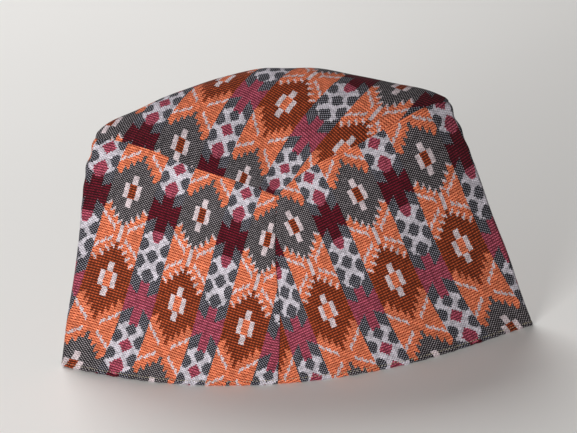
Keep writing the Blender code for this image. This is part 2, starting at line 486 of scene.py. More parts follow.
CROWN_MOTIFS = (
    (-0.5, -0.06, -71.0, -18.0), (0.0, 0.00, -49.0, -32.5), (0.5, -0.06, -34.5, -50.0),
    (1.0, 0.00, -17.5, -58.5), (0.0, 0.25, -37.5, -14.0), (1.0, 0.25, -7.0, -41.0),
    (0.5, 0.44, -11.5, -15.0), (1.0, 0.50, 7.0, -23.0), (1.5, 0.44, 17.5, -38.5),
    (2.0, 0.50, 34.0, -46.5), (2.0, 0.75, 53.5, -23.5), (2.5, 0.94, 86.5, -9.0),
    (-1.0, 0.00, -86.5, -0.5),
)
EASE_UNIT = 100.0        # millimetres that the cubic's terms are measured in


def ease_terms(flat):
    """The ten terms of a cubic over flat places in millimetres."""
    x, y = flat[..., 0] / EASE_UNIT, flat[..., 1] / EASE_UNIT
    return np.stack(
        [np.ones_like(x), x, y, x * x, x * y, y * y, x ** 3, x * x * y, x * y * y, y ** 3],
        axis=-1,
    )


def fit_weave(motifs):
    """The cubic that takes flat places to places on the weave, both in millimetres."""
    rows = np.array(motifs)
    wanted = rows[:, :2] * (COLUMN_PITCH, REPEAT)
    fit = np.linalg.lstsq(ease_terms(rows[:, 2:]), wanted, rcond=None)[0]
    off = ease_terms(rows[:, 2:]) @ fit - wanted
    print("motifs", len(rows), "fitted within", round(float(np.abs(off).max()), 2), "mm")
    return fit


LEFT_WEAVE = fit_weave(LEFT_MOTIFS)
RIGHT_WEAVE = fit_weave(RIGHT_MOTIFS)
CROWN_WEAVE = fit_weave(CROWN_MOTIFS)

# %% [markdown]
# ## The back of a panel
#
# The front of the panel is eased as the tables say. From the side crease on, the cloth just
# goes on as it was woven: the flat distances are turned by the angle of the grain at the
# crease, and aren't stretched.


# %% Weave places of a panel
def weave_slope(fit, place):
    """How the weave place changes along and up the flat piece, at one place."""
    step = 0.5
    here = np.array(place)
    along = ease_terms(here + (step, 0)) - ease_terms(here - (step, 0))
    up = ease_terms(here + (0, step)) - ease_terms(here - (0, step))
    return np.stack([along @ fit, up @ fit], axis=-1) / (2 * step)


def panel_weave(flat, fit, crease_column):
    """Places on the weave, in column pitches and repeats, for a grid of flat places."""
    millimetres = flat * 1000
    weave = ease_terms(millimetres) @ fit
    crease = millimetres[crease_column]
    slope = weave_slope(fit, crease[len(crease) // 2])
    left, _, right = np.linalg.svd(slope)
    turned = (millimetres[crease_column:] - crease) @ (left @ right).T
    weave[crease_column:] = weave[crease_column] + turned
    return weave / (COLUMN_PITCH, REPEAT)


print("grain of the left panel at its foot", weave_slope(LEFT_WEAVE, (0.0, 0.0)).round(2).tolist())

# %% [markdown]
# ## The two band panels
#
# Each panel is built as it lies on the cap: columns from the front seam round the crease to
# the back seam, and rows from the rim to the crown seam. The outer face takes the relief,
# and the inner face follows it at the thickness of the wall, 3 mm at the hem and 2 mm above.

# %% Thickness, rows and relief of a panel
WALL = 0.002             # cloth and its stiffening
HEM_WALL = 0.003         # turned-up edge along the rim
HEM_HEIGHT = 0.008
HEM_STEP = 0.0008        # height over which the hem's end thins out
TIP_SHARE = 0.06         # last share of the way to the crease, where the crown seam lies level


def wall_at(height):
    """Thickness of the wall at a height: hem below, single cloth above."""
    above = min(max((height - HEM_HEIGHT) / HEM_STEP, 0.0), 1.0)
    return HEM_WALL + (WALL - HEM_WALL) * above


def band_heights(top):
    """Heights of the rows of one column, closer together at the rim and at the seam."""
    near_top = [top - step for step in reversed(EDGE_STEPS)]
    return list(RIM_STEPS) + list(np.linspace(RIM_STEPS[-1], near_top[0], BAND_ROWS)[1:-1]) + near_top


def panel_relief(walked, height, below_top, way, seam):
    """Relief of a panel apart from the broad waves, by its distances from rim, top and seam."""
    level = min((1 - way) / TIP_SHARE, 1.0)
    top_pull = level * dip(below_top, SEAM_PULL_WIDTH)
    pull = SEAM_PULL * max(dip(seam, SEAM_PULL_WIDTH), top_pull)
    groove = STITCH_GROOVE * dip(height - STITCH_LINE, STITCH_GROOVE_WIDTH)
    return puckers(walked, height, below_top, way) - pull - groove


BAND_SIZE = (len(STATIONS), len(band_heights(SECTIONS[-1][0])))
print("columns and rows of a panel", BAND_SIZE)

# %% [markdown]
# A panel is built column by column. The broad waves die down towards the rim, which lies flat
# on the table, and the rim itself only moves in and out.

# %% A band panel
LEAST_WALL = 0.0001      # left between the two faces at a rounded edge
CALM_HEIGHT = 20         # millimetres over which the broad waves begin, from the rim or a seam
WAVE_SHIFTS = {"left": -1, "right": 1, "crown": 1.3}         # so that no two pieces match


def make_band(side, fit):
    """One band panel of cloth, with its two UV maps."""
    face, outer, inner = [np.zeros(BAND_SIZE + (3,)) for _ in range(3)]
    edges, relief = np.zeros(BAND_SIZE + (2,)), np.zeros(BAND_SIZE)
    for i, (stretch, share) in enumerate(STATIONS):
        way = way_to_crease(stretch, share)
        top = read_row(CROWN_ROWS, CROWN_COLUMNS, side + "_seam", way)
        for j, height in enumerate(band_heights(top)):
            lens, start, walked = panel_walk(stretch, share, side, height)
            seam = min(walked - start, lens.whole - SEAM_GAP / 2 - walked)
            roll = max(
                edge_roll(seam, EDGE_ROLL), edge_roll(top - height, EDGE_ROLL),
                edge_roll(height, RIM_ROLL),
            )
            wall = max(wall_at(height) - roll, roll + LEAST_WALL)
            for grid, inset in ((face, 0.0), (outer, roll), (inner, wall)):
                out, back = lens.at(walked, inset)
                grid[i, j] = (outward(side) * out, back, height)
            edges[i, j] = ((walked - start) * 1000, height * 1000)
            relief[i, j] = panel_relief(walked, height, top - height, way, seam)
    calm = np.clip(edges[..., 1] / CALM_HEIGHT, 0, 1)
    relief += calm * soft_waves(edges[..., 0] / 1000, edges[..., 1] / 1000, WAVE_SHIFTS[side])
    middle = (BAND_SIZE[0] // 2, BAND_SIZE[1] // 2)
    normals = turned_to(grid_normals(face), middle, face[middle] * (1, 1, 0))
    normals[:, :len(RIM_STEPS), 2] = 0
    moved = normals * relief[..., None]
    flat = unroll(face, outward(side))
    weave = panel_weave(flat, fit, CREASE_START)
    name = "band_" + side + "_cloth"
    return finish_piece(cloth_wall(name, outer + moved, inner + moved, weave, edges)), flat


CREASE_START = next(i for i, (stretch, _) in enumerate(STATIONS) if stretch == "crease")
left_band, left_flat = make_band("left", LEFT_WEAVE)
right_band, right_flat = make_band("right", RIGHT_WEAVE)

# %% [markdown]
# ## The crown
#
# The crown is one leaf of cloth, which is folded over the ridge and runs from one side crease
# to the other. A section across it goes from the front seam over the rounded ridge to the
# back seam. Its weave lies slantwise to the ridge, as its own table of motifs says, and behind
# the ridge it goes on with the same grain.

# %% A section of the crown
CROWN_HALF_STEPS = 62
NOMINAL_HALF_SECTION = 0.069         # from a seam to the ridge, for the shares of the first rows
RIDGE_SOFTNESS = 0.25    # how rounded the ridge is, as a share of the crown's half depth
RIDGE_THINNING = 0.0028  # how far the inner face of the ridge lies under the outer one


def crown_shares():
    """Places across the crown, from the front seam at -1 over the ridge at 0 to the back at 1."""
    near = [-1 + step / NOMINAL_HALF_SECTION for step in EDGE_STEPS]
    front = near + list(np.linspace(near[-1], 0.0, CROWN_HALF_STEPS + 1)[1:])
    return front + [-share for share in reversed(front[:-1])]


def crown_columns():
    """Columns of the crown, from the left side crease to the right one."""
    arc = [("front", share) for share in np.linspace(0, 1, ARC_COLUMNS + 1)[1:]]
    turn = [("crease", share) for share in np.linspace(0, 0.5, CREASE_COLUMNS // 2 + 1)[1:]]
    left = [(stretch, share, "left") for stretch, share in reversed(arc + turn)]
    right = [(stretch, share, "right") for stretch, share in arc + turn]
    return left + [("front", 0.0, "right")] + right


def crown_point(column, share, inset):
    """A point of the crown in a column, at a place across it and at a depth in the wall."""
    stretch, along, side = column
    way = way_to_crease(stretch, along)
    seam_height = read_row(CROWN_ROWS, CROWN_COLUMNS, side + "_seam", way)
    rise = read_row(CROWN_ROWS, CROWN_COLUMNS, side + "_ridge", way) - seam_height
    rise = rise * rise / (rise + RIDGE_THINNING * inset / WALL) if rise > 0 else 0.0
    lens, _, front_walk = panel_walk(stretch, along, side, seam_height)
    behind = back_walk(lens, along)
    if stretch == "crease":
        behind = lens.arc + lens.turn * (1 - along)
    front, back = [np.array(lens.at(walk, inset)) for walk in (front_walk, behind)]
    out, away = front + (back - front) * (share + 1) / 2
    full_fall = sqrt(1 + RIDGE_SOFTNESS ** 2) - RIDGE_SOFTNESS
    fall = (sqrt(share ** 2 + RIDGE_SOFTNESS ** 2) - RIDGE_SOFTNESS) / full_fall
    return outward(side) * out, away, seam_height + SEAM_GAP + rise * (1 - fall)


print(len(crown_columns()), "columns and", len(crown_shares()), "rows in the crown")

# %% [markdown]
# ## The crown's weave and its wall
#
# Its flat places are the length along the ridge and the distance down from it. The second UV
# map, which counts millimetres from the rim, goes on past the hem there, so that nothing on
# the crown is taken for a hem.

# %% The crown piece
TIP_FADE = 0.010         # half section below which the relief fades out towards the tip
ROLL_LIMIT = 0.45        # most of the wall that a rounded edge takes from each face
CROWN_FROM_RIM = 100     # millimetres from the rim to the crown, roughly


def crown_weave(flat, fit, ridge):
    """Weave places of the crown: eased at the front, and the same grain behind the ridge."""
    weave = ease_terms(flat) @ fit
    slope = np.array([weave_slope(fit, place)[:, 1] for place in flat[:, ridge]])
    middle = weave_slope(fit, (0.0, 0.0))[:, 1]
    behind = flat[:, ridge:, 1, None] * (2 * middle - slope)[:, None, :]
    weave[:, ridge:] = weave[:, ridge, None] + behind
    return weave / (COLUMN_PITCH, REPEAT)


def make_crown():
    """The crown of cloth, with its two UV maps."""
    columns, shares = crown_columns(), crown_shares()
    face = np.array([[crown_point(column, share, 0.0) for share in shares] for column in columns])
    lengths = np.linalg.norm(np.diff(face, axis=1), axis=2)
    walked = np.concatenate([np.zeros((len(columns), 1)), np.cumsum(lengths, axis=1)], axis=1)
    seam = np.minimum(walked, walked[:, -1:] - walked)
    outer, inner, relief = np.zeros(face.shape), np.zeros(face.shape), np.zeros(face.shape[:2])
    for i, column in enumerate(columns):
        for j, share in enumerate(shares):
            roll = min(edge_roll(seam[i, j], EDGE_ROLL), ROLL_LIMIT * WALL)
            outer[i, j] = crown_point(column, share, roll)
            inner[i, j] = crown_point(column, share, WALL - roll)
            relief[i, j] = -SEAM_PULL * dip(seam[i, j], SEAM_PULL_WIDTH)
    ridge = len(shares) // 2
    ridge_steps = np.linalg.norm(np.diff(face[:, ridge], axis=0), axis=1)
    along = np.concatenate([[0], np.cumsum(ridge_steps)])
    along -= np.interp(0.0, face[:, ridge, 0], along)
    down = walked - walked[:, ridge, None]
    flat = np.stack([np.repeat(along[:, None], len(shares), axis=1), down], axis=-1)
    calm = np.clip(seam * 1000 / CALM_HEIGHT, 0, 1)
    relief += calm * soft_waves(flat[..., 0], flat[..., 1], WAVE_SHIFTS["crown"])
    relief *= np.clip(walked[:, ridge, None] / TIP_FADE, 0, 1)
    normals = turned_to(grid_normals(face), (len(columns) // 2, ridge), np.array((0, 0, 1)))
    moved = normals * relief[..., None]
    weave = crown_weave(flat * 1000, CROWN_WEAVE, ridge)
    edges = np.stack([flat[..., 0] * 1000, CROWN_FROM_RIM + seam * 1000], axis=-1)
    return finish_piece(cloth_wall("crown_cloth", outer + moved, inner + moved, weave, edges)), flat


crown, crown_flat = make_crown()

# %% [markdown]
# ## The topstitching of the hem
#
# One row of small stitches holds the turned-up edge. Each stitch is a short bit of thread that
# arches over the groove and dives into the cloth at both ends. A bevelled curve could give it,
# but there are hundreds, so each has to be light. One is modelled from a cylinder of six sides:
# it is cut into four, and each ring is narrowed and lifted by its place in the arch.

# %% One stitch
STITCH_LENGTH = 0.0013
STITCH_RADIUS = 0.00021
STITCH_SIDES = 6
STITCH_RINGS = (-0.5, -0.25, 0.0, 0.25, 0.5)         # places along it, as shares of its length
STITCH_TAPER = 0.45      # radius of its ends, as a share of the middle's
STITCH_SINK = 0.00035    # how deep its ends dive under the groove
STITCH_ARCH = 0.00062    # how far its middle rises above its ends


def model_stitch():
    """One stitch along X at the origin, with the outer side of the cloth towards Y."""
    bpy.ops.object.select_all(action="DESELECT")
    bpy.ops.mesh.primitive_cylinder_add(
        vertices=STITCH_SIDES, radius=STITCH_RADIUS, depth=STITCH_LENGTH, location=(0, 0, 0),
        rotation=(0, pi / 2, 0))
    stitch = bpy.context.active_object
    bpy.ops.object.transform_apply(location=False, rotation=True, scale=False)
    bpy.ops.object.mode_set(mode="EDIT")
    for share in STITCH_RINGS[1:-1]:
        bpy.ops.mesh.select_all(action="SELECT")
        bpy.ops.mesh.bisect(plane_co=(share * STITCH_LENGTH, 0, 0), plane_no=(1, 0, 0))
    for share in STITCH_RINGS:
        bpy.ops.mesh.select_all(action="DESELECT")
        bpy.ops.object.mode_set(mode="OBJECT")
        place = share * STITCH_LENGTH
        for vertex in stitch.data.vertices:
            vertex.select = abs(vertex.co.x - place) < STITCH_LENGTH / 10
        bpy.ops.object.mode_set(mode="EDIT")
        arch = cos(pi * share)
        width = STITCH_TAPER + (1 - STITCH_TAPER) * arch
        bpy.ops.transform.resize(value=(1, width, width), center_override=(place, 0, 0))
        bpy.ops.transform.translate(value=(0, STITCH_ARCH * arch - STITCH_SINK, 0))
    bpy.ops.object.mode_set(mode="OBJECT")
    return stitch


stitch = model_stitch()
print("one stitch", [round(size * 1000, 2) for size in stitch.dimensions], "mm")

# %% [markdown]
# The copies follow the rim: the length along a stitch is walked along the cloth, and its height
# is measured out of the groove. A hand guides the machine, so no two lie quite alike.

# %% Stitches along the rim
STITCH_PITCH = 0.0017
STITCH_LEAN = 0.00012    # how far the ends of a stitch stray up and down
STITCH_LIFT = 0.00008    # how far the whole stitch strays
STITCH_SEEDS = {"left": 7, "right": 8}


def lay_stitches(name, side):
    """One row of stitches along the hem of a band panel, joined to one piece."""
    rng = np.random.default_rng(STITCH_SEEDS[side])
    lens = Lens(STITCH_LINE, side)
    _, start, _ = panel_walk("front", 0.0, side, STITCH_LINE)
    run = lens.whole - start - 4 * SEAM_GAP
    count = int(run / STITCH_PITCH)
    bpy.ops.object.select_all(action="DESELECT")
    for k in range(count):
        walked = start + 2 * SEAM_GAP + (k + 0.5) * run / count
        lean = rng.normal(0, STITCH_LEAN) * 2 / STITCH_LENGTH
        height = STITCH_LINE + rng.normal(0, STITCH_LIFT)
        copy = bpy.data.objects.new(name, stitch.data.copy())
        for vertex in copy.data.vertices:
            along, proud, up = vertex.co
            out, away = lens.at(walked + along, STITCH_GROOVE - proud)
            vertex.co = (outward(side) * out, away, height + lean * along + up)
        bpy.context.scene.collection.objects.link(copy)
        copy.select_set(True)
    piece = bpy.data.objects[name]
    bpy.context.view_layer.objects.active = piece
    bpy.ops.object.join()
    print(name, count, "stitches")
    return finish_piece(piece)


left_stitches = lay_stitches("hem_stitches_left", "left")
right_stitches = lay_stitches("hem_stitches_right", "right")
bpy.data.objects.remove(stitch)

# %% [markdown]
# ## Nodes for the materials
#
# Every material below is built by one small function, which adds a node with its settings and
# its links. Colours are written as they are picked on a screen, and Blender wants them as
# linear light.


# %% Colours and nodes
def linear(hex_colour, alpha=1.0):
    """An sRGB hex colour as linear values."""
    channels = [int(hex_colour[k:k + 2], 16) / 255 for k in (1, 3, 5)]
    return [c / 12.92 if c <= 0.04045 else ((c + 0.055) / 1.055) ** 2.4 for c in channels] + [alpha]


def add(tree, kind, sources=None, **settings):
    """Add a node with its settings; a source is a link when it is a socket, else a value."""
    node = tree.nodes.new(kind)
    for name, value in settings.items():
        setattr(node, name, value)
    for socket, source in (sources or {}).items():
        if isinstance(source, bpy.types.NodeSocket):
            tree.links.new(source, node.inputs[socket])
        else:
            node.inputs[socket].default_value = source
    return node


print("a middle grey of #808080 is", round(linear("#808080")[0], 3), "in linear light")

# %% [markdown]
# ## The brocade chart
#
# The pattern is a traditional one of stepped diamonds between columns of stars. A weaver
# charts half of it, because it is the same on both sides of a diamond. The shapes are drawn
# below in millimetres across and up from the middle of the charcoal diamond, over half a
# column pitch and one repeat, and later shapes lie on earlier ones. The drawing is then turned
# into a chart of cells, one thread row high and half a millimetre wide, as on squared paper.

# %% Shapes of the diamond column
YARNS = ("orange", "russet", "charcoal", "white", "rose", "maroon", "slate", "chalk")
HALF_PITCH = COLUMN_PITCH / 2
HALF_DIAMOND = 11.8      # half width of the diamond column
DRAWN = (-75, 31)        # lowest and highest place of the drawing
EMBER = -51.5            # middle of the russet diamond
CHARCOAL_LOW = (         # stepped edges of the diamonds, from the axis out below, and back above
    (0, -20.6), (1, -20.6), (1, -17.8), (3.2, -19.4), (3.4, -14.4), (5.8, -16.2),
    (6, -11.5), (8.4, -13.2), (8.6, -8.2), (9.6, -8.4), (12, -10.8),
)
CHARCOAL_HIGH = (
    (12, 11.2), (9.6, 8.3), (8.6, 8.0), (8.4, 13.6), (6, 11.2), (5.8, 16.7),
    (3.4, 14.2), (3.2, 19.6), (1.2, 17.8), (1.2, 22.7), (0, 22.7),
)
RUSSET_LOW = (
    (0, -23.0), (1, -23.0), (1, -17.6), (3.2, -20.7), (3.4, -14.3), (5.8, -17.6),
    (6, -11.4), (8.4, -14.6), (8.6, -8.8), (9.6, -9.2), (12, -11.8),
)
RUSSET_HIGH = (
    (12, 10.6), (9.6, 8.4), (8.6, 8.2), (8.4, 12.4), (6, 11.6), (5.8, 15.8),
    (3.4, 14.6), (3.2, 18.6), (1, 17.8), (1, 21.7), (0, 21.7),
)
CHARCOAL_TIPS = ((8.8, -8.0), (6, -11.4), (3.4, -14.6), (1, -17.4))
RUSSET_TIPS = ((8.8, 9.2), (5.9, 12.2), (3.4, 15.1), (1, 17.8))
TIP = ((0, 0.2), (0.6, 0.1), (2.5, -1.7), (2.5, -3.2), (0.9, -1.7), (0, -1.2))       # a white tip
STEM = (0, 1, -29.8, -20.6)          # oblongs: from and to across, from and to up
CROSS_ARM = (0, 1.7, -9.6, 9.8)
CROSS_SIDE = (1.9, 4.7, -4.1, 4.2)
CROSS_CORE = (0, 1.9, -4.6, 4.5)


def raised(shape, height):
    """A shape moved along the warp."""
    return [(x, y + height) for x, y in shape]


def oblong(x_low, x_high, y_low, y_high):
    """Corners of a rectangle."""
    return [(x_low, y_low), (x_high, y_low), (x_high, y_high), (x_low, y_high)]


print("teeth on a side of a diamond:", len(CHARCOAL_TIPS), "below and", len(RUSSET_TIPS), "above")

# %% [markdown]
# White streaks cross the orange from the column's edge. Each is a row of three strokes, and a
# stroke widens inwards to a tooth on the side that the streak runs to.

# %% Streaks, and the whole column
STREAKS = ((-14.6, -22.8), (-35.9, -28.0), (-66.8, -75.7), (-89.3, -81.3))       # outer, inner end
STREAK_OUTER = 12.0      # from the column's axis to a streak's outer end
STREAK_INNER = 3.0       # and to its inner end
STREAK_STROKES = 3
STROKE_BREAK = 0.3       # between two strokes
STROKE_START = 0.6       # half height of a stroke where it starts
STROKE_TOOTH = 2.3       # reach of the tooth at its end, and of its other side
STROKE_HEEL = 0.9


def streak(outer, inner):
    """A white streak between two heights, from the column's edge inwards, in toothed strokes."""
    strokes = []
    way = 1 if inner > outer else -1
    slope = (inner - outer) / (STREAK_OUTER - STREAK_INNER)
    width = (STREAK_OUTER - STREAK_INNER) / STREAK_STROKES
    for k in range(STREAK_STROKES):
        start, end = STREAK_OUTER - width * k, STREAK_OUTER - width * (k + 1) + STROKE_BREAK
        near, far = [outer + slope * (STREAK_OUTER - x) for x in (start, end)]
        strokes.append([
            (start, near - STROKE_START * way), (start, near + STROKE_START * way),
            (end, far + STROKE_TOOTH * way), (end, far - STROKE_HEEL * way)])
    return strokes


def diamond_column():
    """Shapes of the column of diamonds, as pairs of a yarn and an outline."""
    shapes = [("orange", oblong(0, HALF_DIAMOND, *DRAWN))]
    shapes += [("white", stroke) for ends in STREAKS for stroke in streak(*ends)]
    shapes.append(("white", oblong(*STEM)))
    shapes.append(("charcoal", list(CHARCOAL_LOW + CHARCOAL_HIGH)))
    shapes.append(("russet", raised(RUSSET_LOW + RUSSET_HIGH, EMBER)))
    for x, y in CHARCOAL_TIPS:
        shapes.append(("white", [(x + along, y + up) for along, up in TIP]))
    for x, y in RUSSET_TIPS:
        shapes.append(("white", [(x + along, EMBER + y - up) for along, up in TIP]))
    for middle, core in ((0, "russet"), (EMBER, "orange")):
        shapes.append(("white", raised(oblong(*CROSS_ARM), middle)))
        shapes.append(("white", raised(oblong(*CROSS_SIDE), middle)))
        shapes.append((core, raised(oblong(*CROSS_CORE), middle)))
    return shapes


print(len(diamond_column()), "shapes in the diamond column")

# %% [markdown]
# The column of stars is drawn from its own axis, half a pitch away, in the same millimetres.
# Its warp has a cooler tone, which shows between the floats, so the charcoal and the white
# have a cooler kind here: slate and chalk.

# %% Shapes of the star column
COLUMN_EDGE = 8.2        # a little past the column's half width, so that no cell is missed
PEBBLES = ((-31.5, 3.5, 4.3), (-42.7, 3.8, 4.6), (-74.3, 3.3, 3.8))      # height and half sizes
PEBBLE_SHOULDER = (0.5, 0.62)        # a pebble's corner between two tips, as shares of them
SIDE_PEBBLES = (-26.3, -36.2, 14.4, 25.1)            # heights of the pebbles at the edge
SIDE_PEBBLE = (
    (COLUMN_EDGE, 2.7), (5.9, 4.3), (4.1, 2.5), (3.1, 0), (4.2, -2.4), (5.9, -4.2),
    (COLUMN_EDGE, -2.7),
)
SIDE_STRIPS = ((-23, -18), (-79, -71), (8, 14))      # the white mesh stays off the edge here
STRIP_START = 6.8
STAR_SHAPES = (
    ("slate", (
        (0, -46.8), (2.9, -45.4), (3.4, -44.4), (5, -44.2), (6.4, -40.6), (6.8, -38.6),
        (COLUMN_EDGE, -38), (COLUMN_EDGE, -49.9), (2.7, -54), (0, -54),
    )),
    ("slate", ((0, -61), (2.7, -61.4), (8, -66), (8, -74.3), (2.7, -69.8), (0, -69))),
    ("slate", ((0, 5), (2.9, 5.2), (8, 9.8), (8, 1.2), (2.9, -2), (0, -2))),
    ("slate", ((0, -9), (2.9, -9.7), (8, -13.4), (8, -21.5), (2.9, -17.7), (0, -17))),
    ("maroon", (
        (0, 4.5), (2.9, 4.5), (2.9, -2), (8, 1.2), (8, -13.4), (2.9, -9.7), (2.9, -17.6),
        (0, -17.6),
    )),
    ("rose", (
        (0, -47.2), (2.7, -45.4), (2.7, -54), (8, -49.9), (8, -66), (2.7, -61.4),
        (2.7, -72.6), (0, -70.6),
    )),
)
ROSE_DROPS = (
    ((0, -24.2), (1.4, -23.4), (2.9, -20.6), (2.9, -16.8), (0, -16.8)),
    ((0, 13.6), (1.6, 12.3), (3.8, 9.3), (3.6, 6.8), (2.0, 4.0), (0, 3.2)),
    ((0, 25.7), (4.1, 21.3), (0, 16.9)),
)


def pebble(y, half_width, half_height):
    """Half of a rounded diamond on the axis of the stars."""
    out, up = PEBBLE_SHOULDER[0] * half_width, PEBBLE_SHOULDER[1] * half_height
    return [(0, y + half_height), (out, y + up), (half_width, y), (out, y - up), (0, y - half_height)]


def star_column():
    """Shapes of the column of stars, measured from the axis of the diamonds."""
    shapes = [("chalk", oblong(0, HALF_PITCH - HALF_DIAMOND, *DRAWN))]
    shapes += [("slate", raised(SIDE_PEBBLE, middle)) for middle in SIDE_PEBBLES]
    shapes += [("slate", oblong(STRIP_START, COLUMN_EDGE, *strip)) for strip in SIDE_STRIPS]
    shapes += list(STAR_SHAPES)
    shapes += [("slate", pebble(*place)) for place in PEBBLES]
    shapes += [("rose", drop) for drop in ROSE_DROPS]
    return [(yarn, [(HALF_PITCH - x, y) for x, y in shape]) for yarn, shape in shapes]


print(len(star_column()), "shapes in the star column")

# %% [markdown]
# A cell of the chart takes the yarn of the last shape that covers its middle.

# %% Turn the drawing into a chart of cells
CHART_ROWS = 98          # thread rows in a repeat, about 1.07 mm each
CHART_COLUMNS = 40       # half a millimetre each, over half a column pitch


def covers(shape, x, y):
    """Whether places lie inside an outline."""
    inside = np.zeros(x.shape, bool)
    for (x_0, y_0), (x_1, y_1) in zip(shape, shape[1:] + shape[:1]):
        if y_0 != y_1:
            crosses = (y_0 > y) != (y_1 > y)
            inside ^= crosses & (x < (x_1 - x_0) * (y - y_0) / (y_1 - y_0) + x_0)
    return inside


def make_chart():
    """Yarn numbers, by chart row from the bottom and chart column from the diamond's axis."""
    across = (np.arange(CHART_COLUMNS) + 0.5) / CHART_COLUMNS * HALF_PITCH
    up = (np.arange(CHART_ROWS) + 0.5) / CHART_ROWS * REPEAT - REPEAT
    x, y = np.meshgrid(across, up)
    cells = np.zeros(x.shape, int)
    for yarn, shape in diamond_column() + star_column():
        covered = covers(list(shape), x, y) | covers(list(shape), x, y + REPEAT)
        cells[covered] = YARNS.index(yarn)
    return cells


CHART = make_chart()
print("cells of each yarn", {yarn: int((CHART == k).sum()) for k, yarn in enumerate(YARNS)})

# %% [markdown]
# ## Reading the chart with nodes
#
# Each column of the chart becomes one colour ramp with hard steps, whose grey level is the
# number of the yarn. The place across the cloth picks the column, and the place along the
# warp is looked up in its ramp. The half chart is mirrored by a ping-pong. A ramp holds 32
# steps at most, which is enough for any column here.

# %% The chart group
YARN_LEVELS = len(YARNS)             # grey levels, one for each yarn
ROW_LOOK_UP = 0.75       # place in a row at which its ramp is read
SAME_NUMBER = 0.4        # two whole numbers this close are the same


def fill_ramp(ramp, stops):
    """Give a colour ramp hard steps, from pairs of a place and a colour."""
    ramp.interpolation = "CONSTANT"
    while len(ramp.elements) > 1:
        ramp.elements.remove(ramp.elements[-1])
    for number, (place, colour) in enumerate(stops):
        stop = ramp.elements.new(place) if number else ramp.elements[0]
        stop.position = place
        stop.color = colour


def column_stops(column):
    """The steps of one column of the chart, where its yarn changes."""
    rows = [0] + [k for k in range(1, CHART_ROWS) if column[k] != column[k - 1]]
    return [(row / CHART_ROWS, [column[row] / YARN_LEVELS] * 3 + [1.0]) for row in rows]


def chart_group():
    """A node group from millimetres on the weave to the yarn's grey level."""
    tree = bpy.data.node_groups.new("brocade_chart", "ShaderNodeTree")
    for name in ("Across", "Row"):
        tree.interface.new_socket(name, in_out="INPUT", socket_type="NodeSocketFloat")
    tree.interface.new_socket("Yarn", in_out="OUTPUT", socket_type="NodeSocketFloat")
    given = add(tree, "NodeGroupInput")
    scaled = add(
        tree, "ShaderNodeMath", {0: given.outputs["Across"], 1: HALF_PITCH}, operation="PINGPONG")
    cells = add(tree, "ShaderNodeMath", {
        0: scaled.outputs[0], 1: CHART_COLUMNS / HALF_PITCH}, operation="MULTIPLY")
    cell = add(tree, "ShaderNodeMath", {0: cells.outputs[0]}, operation="FLOOR")
    capped = add(
        tree, "ShaderNodeMath", {0: cell.outputs[0], 1: CHART_COLUMNS - 1.0}, operation="MINIMUM")
    lifted = add(
        tree, "ShaderNodeMath", {0: given.outputs["Row"], 1: ROW_LOOK_UP}, operation="ADD")
    share = add(
        tree, "ShaderNodeMath", {0: lifted.outputs[0], 1: CHART_ROWS}, operation="DIVIDE")
    place = add(tree, "ShaderNodeMath", {0: share.outputs[0]}, operation="FRACT").outputs[0]
    total = 0.0
    for k in range(CHART_COLUMNS):
        ramp = add(tree, "ShaderNodeValToRGB", {"Fac": place})
        fill_ramp(ramp.color_ramp, column_stops(CHART[:, k]))
        chosen = add(tree, "ShaderNodeMath", {
            0: capped.outputs[0], 1: float(k), 2: SAME_NUMBER}, operation="COMPARE")
        total = add(tree, "ShaderNodeMath", {
            0: ramp.outputs[0], 1: chosen.outputs[0], 2: total}, operation="MULTIPLY_ADD").outputs[0]
    add(tree, "NodeGroupOutput", {"Yarn": total})
    return tree


chart_tree = chart_group()
print("most steps in a ramp", max(len(column_stops(column)) for column in CHART.T), "of 32")

# %% [markdown]
# ## The handloom brocade
#
# The cloth is dyed cotton, woven with a supplementary weft. A row of the pattern is a thick
# float of coloured yarn with a thinner ground pick under it, and both are tied down by the
# warp. So the eye sees ribs, and crossing them a fine lattice of ties. Each yarn has a colour
# for the bright crown of a float, which is painted light, and one for its shadowed side, which
# is painted shade and partly the ground pick that shows there. A third number says how far it
# shows ribs rather than the lattice, and a fourth how much of it takes the darker colour: the
# charcoal parts are a plain check of black and pale threads, where the two colours are the
# threads themselves, and the others show ribs too.
#
# The real cloth has 98 rows in a repeat and 34 ties in a column of diamonds. In the picture
# those are less than two pixels apart and would blur to one tone, so the threads are drawn
# coarser, 70 and 24, while the outlines of the pattern keep the steps of the real 98 rows.

# %% Colours of the yarns
# the first colour is painted light on the crown of a float, the second painted shade on its shadowed
# side; in the charcoal and slate they are the pale and black threads of the check
YARN_COLOURS = {         # crown of the float, its shadowed side, share of ribs, and shadow
    "orange": ("#E1805B", "#732715", 0.44, 0.00),
    "russet": ("#A84B29", "#42170A", 0.54, 0.22),
    "charcoal": ("#958D90", "#080609", 0.00, 0.42),
    "white": ("#C8BABC", "#918488", 0.20, 0.00),
    "rose": ("#B25467", "#4A131F", 0.46, 0.10),
    "maroon": ("#651222", "#220409", 0.52, 0.14),
    "slate": ("#908D97", "#06070B", 0.00, 0.42),
    "chalk": ("#C1BBC3", "#8B868D", 0.20, 0.00),
}


def palette_stops(column):
    """The steps from a yarn's level to one of its colours, with the share behind it as alpha."""
    stops = []
    for number, yarn in enumerate(YARNS):
        colours, shares = YARN_COLOURS[yarn][:2], YARN_COLOURS[yarn][2:]
        stops.append((number / YARN_LEVELS, linear(colours[column], shares[column])))
    return stops


print(len(palette_stops(0)), "yarns in the palette")

# %% [markdown]
# ## Which yarn lies on top
#
# The UV map counts column pitches and repeats, and is turned into a count of ties and ribs. A
# handloom never beats every row to the same place, so each row of the chart is shifted
# sideways by a hair before the chart is read.

# %% The yarn at a place
RIBS = 70                # ribs drawn in one repeat, coarser than the real 98 so that they show
TIES = 24                # ties drawn in one column pitch, coarser than the real 34
ROW_WANDER = 0.45        # millimetres that a row strays sideways, in all


